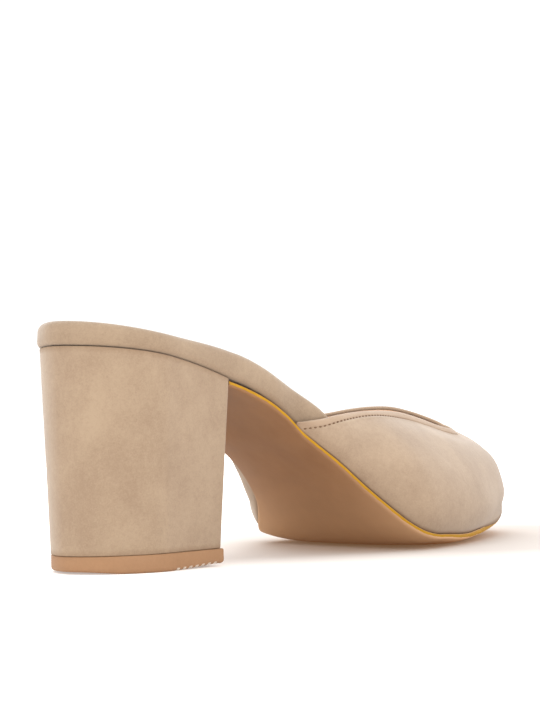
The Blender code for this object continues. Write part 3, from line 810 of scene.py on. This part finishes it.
# Padded footbed
footbed = {
    "overhang": 1.0, "topRound": 2.8, "lowRound": 2.4, "clearance": 0.5, "waistOverhang": 2.3,
    "lean": 0.8, "step": 8.0, "stepMargin": 1.5, "wallInside": 1.7, "wallCorner": 1.1,
    "paredLength": 16.0, "sideSteps": 150, "arcSteps": 9, "lowLean": 0.3, "sideLean": 0.5,
    "topCrown": 0.4, "squareness": 0.85, "lowShares": (1.0, 0.7, 0.35), "fill": 0.9,
    "topShares": (0.15, 0.35, 0.6, 0.85, 1.0), "backShade": 0.35, "backShadeEnd": 92.0,
}
# place along the shoe and padding there
footbedRows = ((0.0, 8.4), (28.4, 7.0), (55.4, 9.3), (80.0, 10.2), (96.0, 11.9), (110.0, 9.8),
               (151.0, 6.5))


def footbedThickness(along):
    places, thick = np.array(footbedRows).T
    return smoothCurve(np.clip(along, 0.0, places[-1]), places, thick, None, 0.0)


def footbedEdge(inset, rise):
    sides = []
    for outline, sign in ((lateralOutline, -1.0), (medialOutline, 1.0)):
        points = spaced(outline, 0.0, 1.0, footbed["sideSteps"])
        x = points[:, 0]
        inside = ease(x, last["upperStart"] - footbed["step"] * (1.0 + 1.6 * rise),
                      last["upperStart"] - footbed["stepMargin"] + 2.5 * rise)
        wall = between(footbed["wallCorner"], footbed["wallInside"], ease(
            x, last["upperStart"], last["upperStart"] + footbed["paredLength"]))
        offset = (footbed["overhang"] * (1.0 - inside) - inset
                  + (footbed["lean"] * rise - wall - footbed["clearance"]) * inside)
        if sign > 0.0:
            narrowest = medialSide[1][0] * last["soleLength"]
            waist = ease(x, last["seatLength"], narrowest)
            waist *= 1.0 - ease(x, narrowest, last["treadStart"])
            offset = offset + footbed["waistOverhang"] * rise * waist
        sides.append(movedOut(points, offset, sign)[0])
    return sides


def towardSpine(sides, share):
    centre = 0.5 * (sides[0] + sides[1])
    back = last["seatBackDepth"]
    spineX = np.clip(centre[:, 0], back, last["soleLength"] - back)
    spine = np.column_stack((spineX, np.interp(spineX, centre[:, 0], centre[:, 1])))
    return closedLine([between(side, spine, share) for side in sides])


def makeFootbed():
    lowRound = footbed["lowRound"]
    topRound = footbed["topRound"]
    square = footbed["squareness"]
    rows = []
    shades = []

    def addRow(flat, height, followed, shade):
        # followed: how much of the sole's uneven line the row takes up
        row = onSeat(flat, height)
        row[:, 2] += lineRelief(flat[:, 0]) * followed
        rows.append(row)
        shades.append(np.broadcast_to(shade, len(flat)))

    # painted shade: the underside and lower round of the pad are darkened by its edgeShade mask,
    # less at the back of the seat
    for share in footbed["lowShares"]:
        addRow(towardSpine(footbedEdge(lowRound, 0.0), share), 0.0, 1.0, 1.0)
    for turn in quarterTurn(footbed["arcSteps"]):
        rise = math.sin(turn)
        flat = closedLine(footbedEdge(lowRound * (1.0 - rise), footbed["lowLean"] * rise))
        paintedShade = between(footbed["backShade"], 1.0, ease(
            flat[:, 0], last["seatLength"], footbed["backShadeEnd"]))
        addRow(flat, lowRound * (1.0 - math.cos(turn)), 1.0 - 0.3 * rise,
               paintedShade * (1.0 - 0.75 * rise))
    for turn in quarterTurn(footbed["arcSteps"]):
        inset = topRound * (1.0 - max(math.cos(turn), 0.0) ** square)
        drop = topRound * (1.0 - math.sin(turn) ** square)
        rise = between(footbed["sideLean"], 1.0, math.sin(turn))
        flat = closedLine(footbedEdge(inset, rise))
        addRow(flat, footbedThickness(flat[:, 0]) - drop, 0.0, 0.0)
    for share in footbed["topShares"]:
        flat = towardSpine(footbedEdge(topRound, 1.0), share)
        crown = footbed["topCrown"] * (1.0 - (1.0 - share) ** 2)
        addRow(flat, footbedThickness(flat[:, 0]) + crown, 0.0, 0.0)
    piece = makePiece("footbed_pad", np.concatenate(rows),
                      gridFaces(len(rows), len(rows[0]), True), footbedSuede,
                      "footbed", {"edgeShade": np.concatenate(shades)})


makeFootbed()
print("footbed made")

# Sole with its painted edge
sole = {
    "acrossSteps": 41, "sideSteps": 170, "lowRound": 0.35, "lowReach": 0.6, "paint": 0.08,
    "paintTop": 0.06, "paintWaist": 0.56, "paintToe": 0.98, "paintWobble": 0.05,
    "paintTip": 0.3, "breastDrop": 0.55, "breastReach": (6.0, 22.6), "toeSetback": -0.6,
    "toeFrom": 200.0, "toeTo": 228.0, "floorLightFrom": 96.0, "floorLightTo": 182.0,
}


def soleCrown(along):
    place = last["toeCrownAlong"] * last["soleLength"]
    toBall = ease(along, last["upperStart"], last["treadStart"])
    toToe = ease(along, last["treadStart"], place)
    toTip = ease(along, place, last["soleLength"])
    crown = between(last["waistCrown"], last["ballCrown"], toBall)
    return between(between(crown, last["toeCrown"], toToe), last["tipCrown"], toTip)


def soleTop(along):
    first, end = sole["breastReach"]
    drop = sole["breastDrop"] * (
        1.0 - ease(along, last["seatLength"] + first, last["seatLength"] + end))
    return seatHeight(along) - last["gap"] + lineRelief(along) - drop


def soleSides(extra=0.0):
    sides = []
    start = last["seatLength"] + last["gap"]
    for outline, sign in ((lateralOutline, -1.0), (medialOutline, 1.0)):
        points = spaced(outline, shareAt(outline, start), 1.0, sole["sideSteps"])
        setback = last["soleSetback"] * (1.0 - ease(points[:, 0], last["seatLength"],
                                                    last["upperStart"]))
        setback = setback + sole["toeSetback"] * ease(points[:, 0], sole["toeFrom"], sole["toeTo"])
        points = movedOut(points, extra - setback, sign)[0]
        points[0, 0] = start
        sides.append(points)
    return sides


def makeOutsole():
    across = 0.5 - 0.5 * np.cos(np.linspace(0.0, math.pi, sole["acrossSteps"]))
    rings = []
    for lateral, medial in zip(*soleSides()):
        flat = between(lateral, medial, across[:, None])
        high = soleTop(flat[:, 0])
        leanZ = seatNormal(flat[:, 0])[1]
        crown = (soleCrown(flat[:, 0]) + last["treadSink"]) * (
            1.0 - np.abs(2.0 * across - 1.0) ** last["crownFullness"])
        fromEdge = np.minimum(across, 1.0 - across) * np.linalg.norm(medial - lateral)
        rounding = sole["lowRound"] * np.clip(1.0 - fromEdge / sole["lowReach"], 0.0, 1.0) ** 2
        low = np.maximum(high - (last["soleEdge"] - rounding + crown) / leanZ, 0.0)
        rings.append(closedLine((np.column_stack((flat, low)), np.column_stack((flat, high)))))
    width = len(rings[0])
    points = np.concatenate(rings)
    makePiece("outsole_sheet", points, gridFaces(len(rings), width, True) + capFaces(0, width),
              soleResin, "outsole",
              # painted light: paler towards the tread
              {"paintedFloorLight": ease(points[:, 0], sole["floorLightFrom"], sole["floorLightTo"])})


def makeEdgeBand():
    ringOut = acrossToe(soleSides(sole["paint"]))
    ringIn = acrossToe(soleSides(-0.05))
    x = ringOut[:, 0]
    leanZ = seatNormal(x)[1]
    topZ = soleTop(x)
    reach = between(sole["paintWaist"], sole["paintToe"], ease(
        x, last["treadStart"] - 10.0, last["treadEnd"] + 20.0))
    wobble = np.sin(0.9 * x + 1.3) * np.sin(0.37 * x) + 0.5 * np.sin(2.1 * x + 0.6)
    reach = reach + sole["paintWobble"] * wobble - sole["paintTip"] * ease(x, 215.0, 240.0)
    high = topZ - sole["paintTop"] / leanZ
    low = topZ - last["soleEdge"] * reach / leanZ
    shares = ((ringIn, 0.0), (ringOut, 0.10), (ringOut, 0.5), (ringOut, 0.90), (ringIn, 1.0))
    rows = np.stack([np.column_stack((ring, between(high, low, share)))
                     for ring, share in shares], axis=1)
    count, width = rows.shape[:2]
    faces = gridFaces(count, width, True)
    faces += [tuple(base + step for step in range(width)) for base in (0, (count - 1) * width)]
    makePiece("sole_edge_paint", rows.reshape(-1, 3), faces, edgePaint,
              values={"toTip": np.repeat(ease(x, 225.0, last["soleLength"]), width)})


makeOutsole()
makeEdgeBand()
print("sole made")

# Block heel and its top piece
heel = {
    "liftHeight": 5.8, "liftLength": 51.7, "liftWidth": 47.4, "liftSetback": 1.4,
    "lip": 0.7, "cornerRound": 0.45, "frontOut": 0.5, "seam": 0.1, "backSteps": 60,
    "sideSteps": 24, "cornerSteps": 7, "levels": 40, "rollReach": 0.4, "rollDepth": 0.13,
    "rollSteps": 6, "paintedShade": 0.7, "endShadeReach": 1.2,
}
lift = {
    "back": 2.4, "length": 51.6, "cornerRound": 0.9, "edgeRound": 1.5, "edgeSteps": 6,
    "frontRise": 1.0, "backRise": 0.8, "backReach": 12.0, "pitch": 2.91, "grooves": 7,
    "grooveWidth": 0.9, "grooveDepth": 0.8, "grooveSlope": 0.25, "slopeMargin": 0.03,
    "frontMargin": 4.4, "sideLevels": (1.7, 1.9, 2.3),
    # how far in and how far over the lift's full height
    "topSteps": ((0.0, -0.3), (0.15, 0.05), (0.4, 0.2)),
}


def heelSides(length, width, back, cornerRound, extraStations=()):
    depth = last["seatBackDepth"] * length / last["seatLength"]
    arcX, arcY = backArc(depth, width, last["seatRoundness"], heel["backSteps"])
    frontX = np.linspace(depth, length - cornerRound, heel["sideSteps"])[1:]
    stations = np.array([s - back for s in extraStations])
    frontX = np.unique(np.concatenate((frontX, stations[(stations > depth)
                                                        & (stations < length - cornerRound)])))
    turn = quarterTurn(heel["cornerSteps"])[1:]
    cornerX = length - cornerRound + cornerRound * np.sin(turn)
    cornerY = 0.5 * width - cornerRound + cornerRound * np.cos(turn)
    x = np.concatenate((arcX, frontX, cornerX)) + back
    y = np.concatenate((arcY, np.full(len(frontX), 0.5 * width), cornerY))
    return np.stack((x, -y), axis=1), np.stack((x, y), axis=1)


def stackLevels(name, levels, material, cadNode, key, shades, sharp=50.0):
    # levels: both sides at each height; shades: the values that go with them
    rings = np.array([closedLine(sides) for sides in levels])
    makePiece(name, rings.reshape(-1, 3), tubeFaces(*rings.shape[:2]), material, cadNode,
              {key: np.array([closedLine(pair) for pair in shades])}, sharp)


def makeHeel():
    lip = heel["lip"]
    corner = heel["cornerRound"]
    low = heelSides(heel["liftLength"] - 2 * lip + heel["frontOut"], heel["liftWidth"] - 2 * lip,
                    heel["liftSetback"] + lip, corner)
    top = heelSides(last["seatLength"], last["seatWidth"], 0.0, corner)
    base = heel["liftHeight"] + last["gap"]
    tall = last["heelHeight"] - base
    ends = heel["rollReach"] / tall * np.linspace(0.0, 1.0, heel["rollSteps"])
    inner = np.linspace(ends[-1], 1.0 - ends[-1], heel["levels"])[1:-1]
    levels = []
    shades = []
    for share in np.concatenate((ends, inner, 1.0 - ends[::-1])):
        toEnd = min(share, 1.0 - share) * tall
        near = max(1.0 - toEnd / heel["rollReach"], 0.0)
        inset = heel["rollDepth"] * (1.0 - math.sqrt(1.0 - near**2))
        sides = []
        for lowSide, topSide, sign in zip(low, top, (-1.0, 1.0)):
            flat = movedOut(between(lowSide, topSide, share), -inset, sign)[0]
            peak = seatHeight(topSide[:, 0]) - heel["seam"]
            sides.append(np.column_stack((flat, between(base, peak, share))))
        levels.append(sides)
        # painted shade: darker close to the seams with the footbed and the top piece
        shadeAmount = heel["paintedShade"] * max(0.0, 1.0 - toEnd / heel["endShadeReach"])
        shades.append([np.full(len(side), shadeAmount) for side in sides])
    stackLevels("heel_block", levels, heelSuede, "heel", "edgeShade", shades)


def makeTopPiece():
    # the underside rises to the front and has short grooves right across
    front = lift["back"] + lift["length"]
    firstGroove = front - lift["frontMargin"]
    middles = [firstGroove - index * lift["pitch"] for index in range(lift["grooves"])]
    half = 0.5 * lift["grooveWidth"]
    slope = lift["grooveSlope"]
    margin = lift["slopeMargin"]
    edge = half + slope
    stations = [m + d for m in middles
                for d in (-edge - margin, -edge, -half, 0.0, half, edge, edge + margin)]

    def underside(along):
        rise = lift["frontRise"] * ease(along, middles[-1] - lift["pitch"], front)
        rise = rise + lift["backRise"] * (
            1.0 - ease(along, lift["back"], lift["back"] + lift["backReach"]))
        away = np.min(np.abs(np.subtract.outer(along, middles)), axis=1)
        groove = lift["grooveDepth"] * np.clip((edge - away) / slope, 0, 1)
        return rise, groove, away < edge + margin / 3.0

    tall = heel["liftHeight"]
    steps = [(lift["edgeRound"] * (1 - math.sin(a)), lift["edgeRound"] * (1 - math.cos(a)))
             for a in quarterTurn(lift["edgeSteps"])]
    steps += [(0.0, height) for height in lift["sideLevels"]]
    steps += [(inset, tall + over) for inset, over in lift["topSteps"]]
    bothSides = heelSides(lift["length"], heel["liftWidth"], lift["back"], lift["cornerRound"],
                          stations)
    levels = []
    shades = []
    for inset, height in steps:
        placed = []
        paleLit = []
        for side, sign in zip(bothSides, (-1.0, 1.0)):
            rise, groove, inGroove = underside(side[:, 0])
            flat = movedOut(side, -inset, sign)[0]
            flat[0] = (side[0, 0] + inset, side[0, 1])
            lowered = height + (1.0 - height / tall) * rise
            z = np.maximum(lowered, (rise + groove) * (groove > 0.05))
            placed.append(np.column_stack((flat, z)))
            # painted light: pale on the roofs of the grooves
            paleLit.append(inGroove * (lowered < rise + lift["grooveDepth"]))
        levels.append(placed)
        shades.append(paleLit)
    stackLevels("top_piece_rubber", levels, tanRubber, "top_piece", "inGroove", shades,
                sharp=35.0)


makeHeel()
makeTopPiece()
print("heel made")

# Floor, light and camera
studio = {
    "floorSize": 6.0, "floorTone": (0.89, 0.86, 0.83, 1.0),
    "shadedTone": (0.53, 0.51, 0.495, 1.0), "paintedSoleGlow": (0.115, 0.068, 0.036, 1.0),
    "farGlow": (0.40, 0.40, 0.40, 1.0), "shadeMiddle": (195.0, -10.0, 0.0),
    "shadeReach": (0.07, 0.20), "sky": 1.12,
    # name, place, aim, size and power
    "lights": (("overheadSoftbox", (0.1, 0.0, 1.6), (0.0, 0.0, 0.0), 1.6, 12.8),
               ("sideSoftbox", (-1.2, 0.5, 0.7), (0.0, 0.0, 0.05), 1.0, 5.6),
               ("lowSoftbox", (-0.25, -1.15, 0.35), (0.0, 0.0, 0.02), 1.0, 6.0),
               ("innerSoftbox", (0.75, 1.0, 0.5), (0.0, 0.0, 0.03), 0.8, 11.0)),
}


def fromHeel(place):
    return Vector(np.array(place) * mm + shoeOrigin)


def makeFloor():
    mesh = bpy.data.meshes.new("studio_floor")
    half = studio["floorSize"]
    mesh.from_pydata([(-half, -half, 0), (half, -half, 0), (half, half, 0), (-half, half, 0)],
                     [], [(0, 1, 2, 3)])
    material, tree, place = startMaterial("paleFloor", 0.9, 0.0)
    # painted shadow: a shade darker under the front of the shoe, with a faint brown glow there as
    # a painted reflection of the sole; further away the floor glows white
    away = addNode(tree, "ShaderNodeVectorMath", {0: place, 1: fromHeel(studio["shadeMiddle"])},
                   operation="DISTANCE")
    clear = stretchRange(tree, away.outputs["Value"], *studio["shadeReach"], 0.0, 1.0)
    for key, near, far in (("Base Color", "shadedTone", "floorTone"),
                           ("Emission Color", "paintedSoleGlow", "farGlow")):
        colour = mixColour(tree, clear, studio[near], studio[far])
        tree.links.new(colour, shaderInputs(tree)[key])
    shaderInputs(tree)["Emission Strength"].default_value = 1.0
    mesh.materials.append(material)
    addObject("studio_floor", mesh)


def makeLight(name, place, aim, size, power):
    lamp = bpy.data.lights.new(name, "AREA")
    lamp.shape = "SQUARE"
    lamp.size = size
    lamp.energy = power
    light = addObject(name, lamp)
    light.location = place
    light.rotation_euler = (Vector(aim) - Vector(place)).to_track_quat("-Z", "Y").to_euler()


makeFloor()
world = bpy.data.worlds.new("studio")
scene.world = world
world.use_nodes = True
sky = world.node_tree.nodes["Background"].inputs
sky["Color"].default_value = (1.0, 1.0, 1.0, 1.0)
sky["Strength"].default_value = studio["sky"]
for light in studio["lights"]:
    makeLight(*light)

camera = {"place": (-457.45, -519.54, 56.61), "forward": (0.73404, 0.67888, 0.01776),
          "right": (0.67910, -0.73369, -0.02260), "lens": 105.165}
lens = bpy.data.cameras.new("photoCamera")
lens.sensor_fit = "VERTICAL"
lens.sensor_height = 36.0
lens.sensor_width = 27.0
lens.lens = camera["lens"]
lens.clip_start = 0.01
forward = Vector(camera["forward"]).normalized()
right = Vector(camera["right"])
right = (right - right.dot(forward) * forward).normalized()
upward = right.cross(forward)
photoCamera = addObject("photoCamera", lens)
turnMatrix = Matrix((right, upward, -forward)).transposed().to_4x4()
photoCamera.matrix_world = Matrix.Translation(fromHeel(camera["place"])) @ turnMatrix
scene.camera = photoCamera
scene.view_settings.view_transform = "Standard"
scene.view_settings.look = "None"
print("floor, light and camera made")
